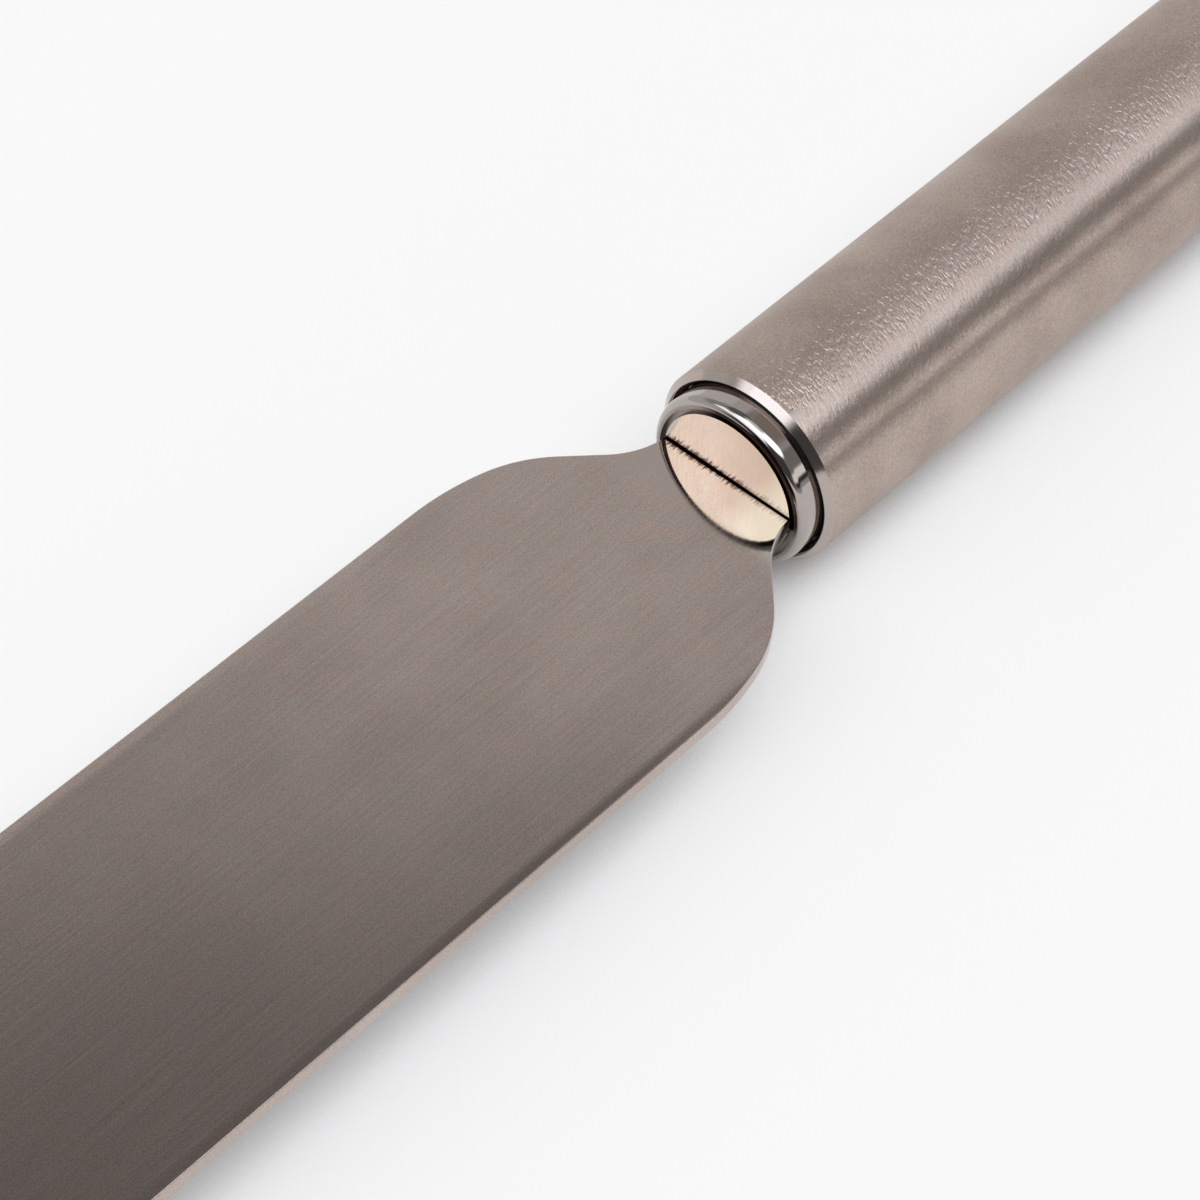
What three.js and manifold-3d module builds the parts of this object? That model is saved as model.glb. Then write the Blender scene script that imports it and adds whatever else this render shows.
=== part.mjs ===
// Icing spatula: a flat round-tipped steel blade whose tang is pinned in a turned collar, and a
// tubular steel handle that the collar closes at the front and a plain turned plug at the rear.
// Millimetres. +X runs from the handle to the blade's tip, +Y across the blade, +Z up.
// Pieces are drawn about the handle's axis, with x = 0 at the front end of the tube.
import * as THREE from 'three';
import { mergeVertices } from 'three/addons/utils/BufferGeometryUtils.js';
import Module from 'manifold-3d';

const wasm = await Module();
wasm.setup();

// Handle tube
const TUBE_OUTER_DIAMETER = 18;
const TUBE_WALL = 1;
const TUBE_LENGTH = 130;
const END_BEVEL_LENGTH = 0.6;
const END_LAND = 0.05;
const BORE_CHAMFER = 0.35;

// Collar and rear plug: a rounded head outside the tube and a spigot inside it
const HEAD_LENGTH = 2;
const HEAD_GROOVE = 0.2;
const RIM_RADIUS = 0.85;
const FACE_GROOVE_WIDTH = 0.5;
const FACE_GROOVE_DEPTH = 0.5;
const COLLAR_SPIGOT_LENGTH = 22;
const PLUG_SPIGOT_LENGTH = 18;
const SPIGOT_EDGE_BREAK = 0.5;

// Rubber ring behind each head
const RING_SECTION_DIAMETER = 0.9;

// Blade
const BLADE_LENGTH = 200;
const BLADE_WIDTH = 30.8;
const BLADE_THICKNESS = 1.4;
const TIP_THICKNESS = 0.9;
const GRIND_START = 90;
const EDGE_BREAK = 0.2;

// Neck: a hollow flare out of the collar, a straight flank, then a shoulder that eases into the sides
const NECK_WIDTH = 13;
const NECK_SEAT_DEPTH = 1.5;
const FLARE_INSET = 0.75;
const FLARE_RADIUS = 8;
const FLANK_LENGTH = 3.9;
const SHOULDER_RADIUS = 13.4;
const EASE_RADIUS = 27;
const EASE_ANGLE = THREE.MathUtils.degToRad(15);

// Tang inside the collar, and the two pins that lock it there
const TANG_WIDTH = 10;
const TANG_CORNER_RADIUS = 2;
const TANG_OVERHANG = 2;
const PIN_DIAMETER = 3;
const PIN_END_RECESS = 0.6;
const FRONT_PIN_SETBACK = 8;
const PIN_SPACING = 8;

// Clearances
const SLIP_CLEARANCE = 0.1;
const SLOT_CLEARANCE = 0.3;
const SLOT_SIDE_CLEARANCE = 0.25;

// Facets: the half-facet turn lays one flat of every round piece downwards
const TURNED_FACETS = 64;
const PIN_FACETS = 24;
const RING_SECTION_FACETS = 8;
const ARC_DIVISIONS = 4;
const HALF_FACET = Math.PI / TURNED_FACETS;

// Sizes that follow from those above
const tubeRadius = TUBE_OUTER_DIAMETER / 2;
const boreRadius = tubeRadius - TUBE_WALL;
const spigotRadius = boreRadius - SLIP_CLEARANCE;
const ringRadius = RING_SECTION_DIAMETER / 2;
const ringSeatRadius = spigotRadius - RING_SECTION_DIAMETER - SLIP_CLEARANCE;
const ringSeatWidth = RING_SECTION_DIAMETER + 2 * SLIP_CLEARANCE;
const faceX = HEAD_GROOVE + HEAD_LENGTH;
const tipX = faceX + BLADE_LENGTH;
const rearX = -TUBE_LENGTH - faceX;
const tangEndX = -COLLAR_SPIGOT_LENGTH - TANG_OVERHANG;
const neckSeatX = faceX - NECK_SEAT_DEPTH;
const pinRadius = PIN_DIAMETER / 2;
const pinLength = 2 * (spigotRadius - PIN_END_RECESS);
const pinPlaces = [-FRONT_PIN_SETBACK, -FRONT_PIN_SETBACK - PIN_SPACING];

// A closed geometry as a solid that can be cut
function solidOf(geometry) {
  const bare = geometry.clone();
  bare.deleteAttribute('normal');
  bare.deleteAttribute('uv');
  const merged = mergeVertices(bare);
  return new wasm.Manifold(new wasm.Mesh({
    numProp: 3,
    vertProperties: new Float32Array(merged.attributes.position.array),
    triVerts: new Uint32Array(merged.index.array),
  }));
}

// A cut solid as a geometry again
function geometryOf(solid) {
  const mesh = solid.getMesh();
  const geometry = new THREE.BufferGeometry();
  geometry.setAttribute('position', new THREE.BufferAttribute(mesh.vertProperties, mesh.numProp));
  geometry.setIndex(new THREE.BufferAttribute(mesh.triVerts, 1));
  geometry.computeVertexNormals();
  return geometry;
}

// Turns a profile, given as (radius, x) points, about the handle's axis
function turned(profile) {
  return new THREE.LatheGeometry(profile, TURNED_FACETS, HALF_FACET).rotateZ(-Math.PI / 2);
}

// An upright cylinder at x on the handle's axis
function uprightCylinder(radius, length, x) {
  return new THREE.CylinderGeometry(radius, radius, length, PIN_FACETS)
    .rotateX(Math.PI / 2)
    .translate(x, 0, 0);
}

// A slot of the given width and height between two places along the axis
function slotCutter(width, height, fromX, toX) {
  return new THREE.BoxGeometry(toX - fromX, width, height).translate((fromX + toX) / 2, 0, 0);
}

// The tube's wall, with a broad bevel outside each end and a small chamfer in the bore
function makeTube() {
  const landInner = boreRadius + BORE_CHAMFER;
  const landOuter = landInner + END_LAND;
  const profile = [
    [landInner, -TUBE_LENGTH],
    [landOuter, -TUBE_LENGTH],
    [tubeRadius, -TUBE_LENGTH + END_BEVEL_LENGTH],
    [tubeRadius, -END_BEVEL_LENGTH],
    [landOuter, 0],
    [landInner, 0],
    [boreRadius, -BORE_CHAMFER],
    [boreRadius, -TUBE_LENGTH + BORE_CHAMFER],
    [landInner, -TUBE_LENGTH],
  ];
  return turned(profile.map(([radius, x]) => new THREE.Vector2(radius, x)));
}

// A plug for the front of the tube: spigot, seat for the rubber ring, and a head with a rounded rim
// and a groove round its flat end face
function makePlug(spigotLength) {
  const rimInner = spigotRadius - RIM_RADIUS;
  const faceRadius = rimInner - FACE_GROOVE_WIDTH;
  const profile = new THREE.Path();
  profile.moveTo(0, -spigotLength);
  profile.lineTo(spigotRadius - SPIGOT_EDGE_BREAK, -spigotLength);
  profile.lineTo(spigotRadius, -spigotLength + SPIGOT_EDGE_BREAK);
  profile.lineTo(spigotRadius, HEAD_GROOVE - ringSeatWidth);
  profile.lineTo(ringSeatRadius, HEAD_GROOVE - ringSeatWidth);
  profile.lineTo(ringSeatRadius, HEAD_GROOVE);
  profile.lineTo(spigotRadius, HEAD_GROOVE);
  profile.absarc(rimInner, faceX - RIM_RADIUS, RIM_RADIUS, 0, Math.PI / 2, false);
  profile.lineTo(rimInner, faceX - FACE_GROOVE_DEPTH);
  profile.lineTo(faceRadius, faceX - FACE_GROOVE_DEPTH);
  profile.lineTo(faceRadius, faceX);
  profile.lineTo(0, faceX);
  return turned(profile.getPoints(ARC_DIVISIONS));
}

// The rubber ring in its seat, just behind the head
function makeRing() {
  const section = new THREE.Path();
  const centreRadius = ringSeatRadius + SLIP_CLEARANCE + ringRadius;
  const centreX = HEAD_GROOVE - ringSeatWidth / 2;
  section.absarc(centreRadius, centreX, ringRadius, 0, 2 * Math.PI, false);
  return turned(section.getPoints(RING_SECTION_FACETS / 2));
}

// The collar is a plug with a slot for the tang, wider where the neck seats, and drilled for the pins
function makeCollar() {
  const slotHeight = BLADE_THICKNESS + 2 * SLOT_CLEARANCE;
  const tangSlotWidth = TANG_WIDTH + 2 * SLOT_SIDE_CLEARANCE;
  const neckSlotWidth = NECK_WIDTH + 2 * SLOT_SIDE_CLEARANCE;
  const cutters = [
    slotCutter(tangSlotWidth, slotHeight, tangEndX, tipX),
    slotCutter(neckSlotWidth, slotHeight, neckSeatX - SLOT_CLEARANCE, tipX),
    ...pinPlaces.map((x) => uprightCylinder(pinRadius + SLIP_CLEARANCE, TUBE_OUTER_DIAMETER, x)),
  ];
  return geometryOf(cutters.reduce(
    (collar, cutter) => collar.subtract(solidOf(cutter)),
    solidOf(makePlug(COLLAR_SPIGOT_LENGTH)),
  ));
}

// The angle of the flank, from which flare, flank and shoulder together make up the blade's half width
function flankAngle() {
  const rise = (BLADE_WIDTH - NECK_WIDTH) / 2;
  const easeRise = EASE_RADIUS * (1 - Math.cos(EASE_ANGLE));
  const bothRadii = FLARE_RADIUS + SHOULDER_RADIUS;
  const rest = rise - easeRise - FLARE_RADIUS - SHOULDER_RADIUS * Math.cos(EASE_ANGLE);
  return Math.atan2(bothRadii, FLANK_LENGTH) + Math.asin(rest / Math.hypot(bothRadii, FLANK_LENGTH));
}

// The blade's outline: one side from the tang's end to the tip, then its mirror image
function bladeOutline() {
  const upright = Math.PI / 2;
  const flank = flankAngle();
  const neckHalf = NECK_WIDTH / 2;
  const tangHalf = TANG_WIDTH / 2;
  const bladeHalf = BLADE_WIDTH / 2;
  const flareX = faceX - FLARE_INSET;
  const flankStartX = flareX + FLARE_RADIUS * Math.sin(flank);
  const shoulderX = flankStartX + FLANK_LENGTH * Math.cos(flank) + SHOULDER_RADIUS * Math.sin(flank);
  const easeX = shoulderX + (EASE_RADIUS - SHOULDER_RADIUS) * Math.sin(EASE_ANGLE);
  const easeY = bladeHalf - EASE_RADIUS;
  const shoulderY = easeY + (EASE_RADIUS - SHOULDER_RADIUS) * Math.cos(EASE_ANGLE);
  const side = new THREE.Path();
  side.absarc(
    tangEndX + TANG_CORNER_RADIUS, tangHalf - TANG_CORNER_RADIUS, TANG_CORNER_RADIUS,
    Math.PI, upright, true,
  );
  side.lineTo(neckSeatX, tangHalf);
  side.lineTo(neckSeatX, neckHalf);
  side.absarc(flareX, neckHalf + FLARE_RADIUS, FLARE_RADIUS, -upright, flank - upright, false);
  side.absarc(shoulderX, shoulderY, SHOULDER_RADIUS, upright + flank, upright + EASE_ANGLE, true);
  side.absarc(easeX, easeY, EASE_RADIUS, upright + EASE_ANGLE, upright, true);
  side.absarc(tipX - bladeHalf, 0, bladeHalf, upright, 0, true);
  const near = side.getPoints(2 * ARC_DIVISIONS);
  const far = near.slice(0, -1).reverse().map((point) => new THREE.Vector2(point.x, -point.y));
  return new THREE.Shape([...near, ...far]);
}

// The wedge ground off one face of the blade, from the grind's start to the tip
function grindWedge(face) {
  const surface = face * BLADE_THICKNESS / 2;
  const tipSurface = face * TIP_THICKNESS / 2;
  const grindX = faceX + GRIND_START;
  const reach = (tipX - grindX) / 10;
  const slope = (tipSurface - surface) / (tipX - grindX);
  const section = new THREE.Shape([
    new THREE.Vector2(grindX, surface),
    new THREE.Vector2(tipX + reach, tipSurface + slope * reach),
    new THREE.Vector2(tipX + reach, face * BLADE_THICKNESS),
    new THREE.Vector2(grindX, face * BLADE_THICKNESS),
  ]);
  return new THREE.ExtrudeGeometry(section, { depth: 2 * BLADE_WIDTH, bevelEnabled: false })
    .rotateX(Math.PI / 2)
    .translate(0, BLADE_WIDTH, 0);
}

// The blade: the outline in sheet steel with broken edges, drilled for the pins and thinned to the tip
function makeBlade() {
  const sheet = new THREE.ExtrudeGeometry(bladeOutline(), {
    depth: BLADE_THICKNESS - 2 * EDGE_BREAK,
    bevelThickness: EDGE_BREAK,
    bevelSize: EDGE_BREAK,
    bevelOffset: -EDGE_BREAK,
    bevelSegments: 1,
  }).translate(0, 0, EDGE_BREAK - BLADE_THICKNESS / 2);
  const cutters = [
    ...pinPlaces.map((x) => uprightCylinder(pinRadius + SLIP_CLEARANCE, TUBE_OUTER_DIAMETER, x)),
    grindWedge(1),
    grindWedge(-1),
  ];
  return geometryOf(cutters.reduce(
    (blade, cutter) => blade.subtract(solidOf(cutter)),
    solidOf(sheet),
  ));
}

function finish(color, roughness, metalness) {
  return new THREE.MeshStandardMaterial({ color, roughness, metalness });
}

function piece(name, geometry, material) {
  const mesh = new THREE.Mesh(geometry, material);
  mesh.name = name;
  return mesh;
}

const tool = new THREE.Group();
tool.add(piece('blade', makeBlade(), finish(0x978c88, 0.35, 1)));
tool.add(piece('front_collar', makeCollar(), finish(0xd9bfae, 0.15, 1)));
tool.add(piece('front_ring', makeRing(), finish(0x1b1918, 0.7, 0)));
tool.add(piece('handle_tube', makeTube(), finish(0xa99b94, 0.3, 1)));
['tang_pin_front', 'tang_pin_rear'].forEach((name, i) => {
  tool.add(piece(name, uprightCylinder(pinRadius, pinLength, pinPlaces[i]), finish(0xb8b2ab, 0.3, 1)));
});

// The rear plug and its ring face the other way, at the rear end of the tube
const rearEnd = new THREE.Group();
rearEnd.position.x = -TUBE_LENGTH;
rearEnd.rotation.z = Math.PI;
rearEnd.add(piece('rear_cap', makePlug(PLUG_SPIGOT_LENGTH), finish(0xc9b7aa, 0.15, 1)));
rearEnd.add(piece('rear_ring', makeRing(), finish(0x1b1918, 0.7, 0)));
tool.add(rearEnd);

// The tool lies on a flat of its tube, with the origin under the middle of its length
tool.position.set(-(tipX + rearX) / 2, 0, tubeRadius * Math.cos(HALF_FACET));
const spatula = new THREE.Group();
spatula.add(tool);

export default spatula;
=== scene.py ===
# %% [markdown]
# # An icing spatula
#
# The tool is a flat steel blade pinned in a turned collar, and a brushed steel tube that the collar
# closes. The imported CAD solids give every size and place, but their round pieces are faceted. Here
# each piece that shows is modelled again as a smooth mesh in the same place, then gets its finish.

# %% Load the CAD frame
import math

import bpy
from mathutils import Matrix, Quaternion, Vector


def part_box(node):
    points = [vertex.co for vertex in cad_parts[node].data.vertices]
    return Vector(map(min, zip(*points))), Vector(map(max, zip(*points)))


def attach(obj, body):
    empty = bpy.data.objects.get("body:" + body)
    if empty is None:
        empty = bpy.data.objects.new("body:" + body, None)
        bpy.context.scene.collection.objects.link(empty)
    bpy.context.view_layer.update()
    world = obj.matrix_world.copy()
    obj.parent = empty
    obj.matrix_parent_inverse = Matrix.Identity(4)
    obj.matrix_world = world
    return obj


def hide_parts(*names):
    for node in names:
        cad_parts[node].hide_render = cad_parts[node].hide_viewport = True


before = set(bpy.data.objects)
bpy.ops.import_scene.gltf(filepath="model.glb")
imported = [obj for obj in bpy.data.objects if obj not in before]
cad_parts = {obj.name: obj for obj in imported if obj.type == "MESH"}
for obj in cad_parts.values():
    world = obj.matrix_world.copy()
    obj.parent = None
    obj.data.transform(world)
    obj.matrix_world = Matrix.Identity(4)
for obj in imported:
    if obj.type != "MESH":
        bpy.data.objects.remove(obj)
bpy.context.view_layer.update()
print("CAD nodes:", sorted(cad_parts))

# %% [markdown]
# The handle's axis is the one line that every piece shares, so the places that matter are read from
# the CAD boxes: the tube's two ends, its radius, the height of its axis, and the collar's flat face.

# %% Read the places that the pieces share
MM = 0.001
tube_low, tube_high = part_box("handle_tube")
collar_low, collar_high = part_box("front_collar")
blade_low, blade_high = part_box("blade")
cap_low, cap_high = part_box("rear_cap")

TUBE_FRONT = tube_high.x
TUBE_REAR = tube_low.x
TUBE_RADIUS = (tube_high.z - tube_low.z) / 2
AXIS_HEIGHT = (tube_high.z + tube_low.z) / 2
FACE_X = collar_high.x
print(f"tube from x {TUBE_REAR:.4f} to {TUBE_FRONT:.4f}, radius {TUBE_RADIUS:.5f}, axis at z {AXIS_HEIGHT:.5f}")

# %% [markdown]
# ## Camera
#
# The photograph is a close view from above the blade's side, with the joint near the middle of the
# frame. A camera can be placed by eye, but here it is given the way a photographer would say it: the
# point it looks at, how far away it is, how far round and how high, and a slight roll.

# %% Place the camera
LOOK_AT = Vector((-16.56 * MM, 0.91 * MM, AXIS_HEIGHT))
CAMERA_DISTANCE = 310.56 * MM
CAMERA_ROUND = math.radians(38.596)
CAMERA_HEIGHT = math.radians(48.726)
CAMERA_ROLL = math.radians(4.002)
CAMERA_LENS = 119.69
SENSOR_WIDTH = 36
NEAREST_SEEN = 0.01
FARTHEST_SEEN = 50


def direction(round_angle, height_angle):
    """The unit direction at an angle round from +X towards +Y, and at an angle above the floor."""
    flat = math.cos(height_angle)
    return Vector((flat * math.cos(round_angle), flat * math.sin(round_angle), math.sin(height_angle)))


towards_camera = direction(CAMERA_ROUND, CAMERA_HEIGHT)
bpy.ops.object.select_all(action="DESELECT")
bpy.ops.object.camera_add(location=LOOK_AT + CAMERA_DISTANCE * towards_camera)
camera = bpy.context.object
level_view = (-towards_camera).to_track_quat("-Z", "Y")
camera.rotation_euler = (level_view @ Quaternion((0, 0, 1), CAMERA_ROLL)).to_euler()
camera.data.lens = CAMERA_LENS
camera.data.sensor_width = SENSOR_WIDTH
camera.data.clip_start = NEAREST_SEEN
camera.data.clip_end = FARTHEST_SEEN
bpy.context.scene.camera = camera
print("camera at", [round(place, 4) for place in camera.location])

# %% [markdown]
# ## A pen for drawing profiles
#
# Turned and cut pieces both start as a drawn line. A profile could be typed as a list of points, but
# then its arcs would be lists too. This pen starts as a plane merged to one vertex. It draws a
# straight by extruding that vertex and an arc by spinning it, so a drawing reads as a maker would
# say it: forward so far, round such a radius by such an angle.

# %% The pen
ARC_STEP = math.radians(3)
QUARTER = math.radians(90)


class Pen:
    """Draws edges on a plane with axes along and up, from a first vertex at place, in edit mode."""

    def __init__(self, name, place, along, up, arc_step=ARC_STEP):
        bpy.ops.object.select_all(action="DESELECT")
        bpy.ops.mesh.primitive_plane_add(size=1 * MM, location=place)
        self.piece = bpy.context.object
        self.piece.name = name
        self.piece.data.name = name
        bpy.ops.object.transform_apply(location=True, rotation=True, scale=True)
        bpy.ops.object.mode_set(mode="EDIT")
        bpy.ops.mesh.merge(type="CENTER")
        self.place = Vector(place)
        self.along = Vector(along)
        self.up = Vector(up)
        self.heading = 0
        self.arc_step = arc_step

    def turn(self, angle):
        """Turns the pen to the left by an angle, without drawing."""
        self.heading += angle

    def forward(self, length):
        """Draws a straight edge of that length."""
        step = length * (math.cos(self.heading) * self.along + math.sin(self.heading) * self.up)
        bpy.ops.mesh.extrude_vertices_move(TRANSFORM_OT_translate={"value": step})
        self.place = self.place + step

    def move_to(self, along, up):
        """Draws a straight edge by so much along and up, and turns the pen that way."""
        self.heading = math.atan2(up, along)
        self.forward(math.hypot(along, up))

    def arc(self, radius, angle):
        """Draws an arc to the left, or to the right where the angle is negative."""
        side = math.copysign(radius, angle)
        left = math.cos(self.heading) * self.up - math.sin(self.heading) * self.along
        centre = self.place + side * left
        out = self.along.cross(self.up)
        steps = max(2, round(abs(angle) / self.arc_step))
        bpy.ops.mesh.spin(steps=steps, angle=angle, center=centre, axis=-out)
        self.place = centre + Quaternion(out, angle) @ (self.place - centre)
        self.heading += angle


def profile_pen(name, x, radius):
    """A pen on the upright plane through the handle's axis, at x along it and a radius above it."""
    return Pen(name, (x, 0, AXIS_HEIGHT + radius), (1, 0, 0), (0, 0, 1))


# %% [markdown]
# A turned piece is its profile spun about the axis. The spin leaves a seam of double points, so these
# are merged, open ends are filled, and the normals are set outwards. Smooth shading follows by angle,
# so true edges stay crisp.

# %% The lathe
LATHE_STEPS = 240
MERGE_DISTANCE = 0.001 * MM
SMOOTH_ANGLE = math.radians(25)


def turn_on_lathe():
    """Spins the drawn profile about the handle's axis into a closed solid."""
    bpy.ops.mesh.select_all(action="SELECT")
    bpy.ops.mesh.spin(steps=LATHE_STEPS, angle=math.tau, center=(0, 0, AXIS_HEIGHT), axis=(1, 0, 0))
    bpy.ops.mesh.select_all(action="SELECT")
    bpy.ops.mesh.remove_doubles(threshold=MERGE_DISTANCE)
    bpy.ops.mesh.fill_holes(sides=0)
    bpy.ops.mesh.normals_make_consistent(inside=False)


def finish_mesh(piece):
    """Leaves edit mode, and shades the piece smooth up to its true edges."""
    bpy.ops.object.mode_set(mode="OBJECT")
    bpy.ops.object.shade_smooth_by_angle(angle=SMOOTH_ANGLE)
    box = [round(1000 * side, 2) for side in piece.dimensions]
    print(f"{piece.name}: {len(piece.data.polygons)} faces, {box} mm")


# %% [markdown]
# ## Handle tube
#
# The handle is a length of steel tube with a broad bevel outside each end. One closed profile of its
# wall, spun once, gives the inside too, so the collar has a real bore to sit in.

# %% Turn the handle tube
TUBE_WALL = 1 * MM
END_BEVEL_LENGTH = 0.6 * MM
END_LAND = 0.05 * MM
BORE_CHAMFER = 0.35 * MM
bevel_drop = TUBE_WALL - END_LAND - BORE_CHAMFER
straight = TUBE_FRONT - TUBE_REAR - 2 * END_BEVEL_LENGTH
bore_length = TUBE_FRONT - TUBE_REAR - 2 * BORE_CHAMFER

pen = profile_pen("brushed_tube", TUBE_REAR + END_BEVEL_LENGTH, TUBE_RADIUS)
pen.move_to(straight, 0)
pen.move_to(END_BEVEL_LENGTH, -bevel_drop)
pen.move_to(0, -END_LAND)
pen.move_to(-BORE_CHAMFER, -BORE_CHAMFER)
pen.move_to(-bore_length, 0)
pen.move_to(-BORE_CHAMFER, BORE_CHAMFER)
pen.move_to(0, END_LAND)
pen.move_to(END_BEVEL_LENGTH, bevel_drop)
turn_on_lathe()
tube = pen.piece
finish_mesh(tube)

# %% [markdown]
# ## Collar and rear cap
#
# Both plugs have the same head: a flat end face with a turned groove round it, a rounded rim, a thin
# lip that reaches a little over the rubber ring, a seat for that ring, and then a spigot that fills
# the tube's bore. They could share one mesh, but their spigots differ in length, so one function draws
# the profile and the lathe turns each. The rear one faces the other way.

# %% Draw the plug's profile
HEAD_LENGTH = 2 * MM
RIM_RADIUS = 0.85 * MM
LIP_LENGTH = 0.22 * MM
LIP_THICKNESS = 0.1 * MM
FACE_GROOVE_WIDTH = 0.5 * MM
FACE_GROOVE_DEPTH = 0.5 * MM
SLIP_CLEARANCE = 0.1 * MM
SPIGOT_EDGE_BREAK = 0.5 * MM
RING_SECTION = 0.9 * MM
bore_radius = TUBE_RADIUS - TUBE_WALL
spigot_radius = bore_radius - SLIP_CLEARANCE
ring_seat_width = RING_SECTION + 2 * SLIP_CLEARANCE
ring_seat_radius = spigot_radius - RING_SECTION - SLIP_CLEARANCE
face_radius = spigot_radius - RIM_RADIUS - FACE_GROOVE_WIDTH


def turn_plug(name, face_x, facing, length):
    """A plug with its end face at face_x, facing +1 for the front of the tool or -1 for the rear."""
    plug_pen = Pen(name, (face_x, 0, AXIS_HEIGHT + face_radius), (-facing, 0, 0), (0, 0, 1))
    plug_pen.forward(FACE_GROOVE_DEPTH)
    plug_pen.move_to(0, FACE_GROOVE_WIDTH)
    plug_pen.move_to(-FACE_GROOVE_DEPTH, 0)
    plug_pen.turn(-QUARTER)
    plug_pen.arc(RIM_RADIUS, -QUARTER)
    plug_pen.forward(HEAD_LENGTH - RIM_RADIUS + LIP_LENGTH)
    plug_pen.move_to(0, -LIP_THICKNESS)
    plug_pen.move_to(-LIP_LENGTH, 0)
    plug_pen.move_to(0, ring_seat_radius - spigot_radius + LIP_THICKNESS)
    plug_pen.move_to(ring_seat_width, 0)
    plug_pen.move_to(0, spigot_radius - ring_seat_radius)
    plug_pen.move_to(length - HEAD_LENGTH - ring_seat_width - SPIGOT_EDGE_BREAK, 0)
    plug_pen.move_to(SPIGOT_EDGE_BREAK, -SPIGOT_EDGE_BREAK)
    turn_on_lathe()
    finish_mesh(plug_pen.piece)
    return plug_pen.piece


collar = turn_plug("turned_collar", FACE_X, 1, collar_high.x - collar_low.x)
rear_cap = turn_plug("turned_rear_cap", cap_low.x, -1, cap_high.x - cap_low.x)

# %% [markdown]
# The collar is slotted across its face for the blade, and cross-drilled for two pins. On a bench these
# would be a saw cut and two drilled holes, so here they are Boolean cuts too: a cutter is added at its
# size, takes its bite and is removed.

# %% Slot and drill the collar
BLADE_THICKNESS = blade_high.z - blade_low.z
NECK_WIDTH = 13 * MM
NECK_SEAT_DEPTH = 1.5 * MM
TANG_WIDTH = 10 * MM
SLOT_CLEARANCE = 0.2 * MM
SLOT_SIDE_CLEARANCE = 0.25 * MM
PIN_DIAMETER = 3 * MM
DRILL_SIDES = 48
DRILL_DEPTH = 4 * TUBE_RADIUS
CUT_MARGIN = 5 * MM
neck_seat_x = FACE_X - NECK_SEAT_DEPTH
slot_height = BLADE_THICKNESS + 2 * SLOT_CLEARANCE
pin_places = [sum(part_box(node), Vector()).x / 2 for node in ("tang_pin_front", "tang_pin_rear")]


def cut_away(piece, cutter):
    """Cuts the selected new primitive out of a piece and removes it."""
    bite = piece.modifiers.new("bite", "BOOLEAN")
    bite.operation = "DIFFERENCE"
    bite.solver = "EXACT"
    bite.object = cutter
    bpy.context.view_layer.objects.active = piece
    bpy.ops.object.modifier_apply(modifier=bite.name)
    bpy.data.objects.remove(cutter)
    piece.select_set(True)


def cut_slot(piece, width, from_x, to_x):
    """Saws a slot of that width and the slot's height between two places along the axis."""
    bpy.ops.object.select_all(action="DESELECT")
    middle = ((from_x + to_x) / 2, 0, AXIS_HEIGHT)
    bpy.ops.mesh.primitive_cube_add(size=1, location=middle, scale=(to_x - from_x, width, slot_height))
    cut_away(piece, bpy.context.object)


def drill_for_pin(piece, x):
    """Drills an upright hole through the axis at x."""
    bpy.ops.object.select_all(action="DESELECT")
    bpy.ops.mesh.primitive_cylinder_add(
        vertices=DRILL_SIDES,
        radius=PIN_DIAMETER / 2 + SLIP_CLEARANCE,
        depth=DRILL_DEPTH,
        location=(x, 0, AXIS_HEIGHT),
    )
    cut_away(piece, bpy.context.object)


cut_slot(collar, TANG_WIDTH + 2 * SLOT_SIDE_CLEARANCE, collar_low.x - CUT_MARGIN, FACE_X + CUT_MARGIN)
cut_slot(collar, NECK_WIDTH + 2 * SLOT_SIDE_CLEARANCE, neck_seat_x - SLOT_CLEARANCE, FACE_X + CUT_MARGIN)
for pin_x in pin_places:
    drill_for_pin(collar, pin_x)
finish_mesh(collar)

# %% [markdown]
# ## Rubber rings
#
# A black ring sits in the groove behind each head. It is a round section spun about the axis. The
# front ring is modelled once, and the rear one is a copy that is moved along the tube.

# %% Mould the rings
ring_low, ring_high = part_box("front_ring")
rear_ring_low, rear_ring_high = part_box("rear_ring")
ring_centre_x = (ring_low.x + ring_high.x) / 2
ring_inner_radius = ring_seat_radius + SLIP_CLEARANCE

pen = profile_pen("front_seal", ring_centre_x, ring_inner_radius)
pen.arc(RING_SECTION / 2, math.tau)
turn_on_lathe()
front_seal = pen.piece
finish_mesh(front_seal)

bpy.ops.object.select_all(action="DESELECT")
front_seal.select_set(True)
bpy.ops.object.duplicate()
rear_seal = bpy.context.object
rear_seal.name = "rear_seal"
rear_seal.data.name = "rear_seal"
rear_seal.location.x = (rear_ring_low.x + rear_ring_high.x) / 2 - ring_centre_x
bpy.ops.object.transform_apply(location=True, rotation=True, scale=True)
finish_mesh(rear_seal)

# %% [markdown]
# ## Blade
#
# The blade is cut from sheet steel: a tang inside the collar, a neck that flares out of the slot in a
# hollow curve, a straight flank, a round shoulder that eases into the long sides, and a full-round
# tip. Only one side is drawn, and a mirror gives the other, so that the two match as on the real one.

# %% Draw one side of the blade
BLADE_WIDTH = blade_high.y - blade_low.y
TANG_CORNER_RADIUS = 2 * MM
FLARE_INSET = 0.75 * MM
FLARE_RADIUS = 8 * MM
FLANK_LENGTH = 3.9 * MM
SHOULDER_RADIUS = 13.4 * MM
EASE_RADIUS = 27 * MM
EASE_ANGLE = math.radians(15)
FINE_ARC_STEP = math.radians(1)

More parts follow.
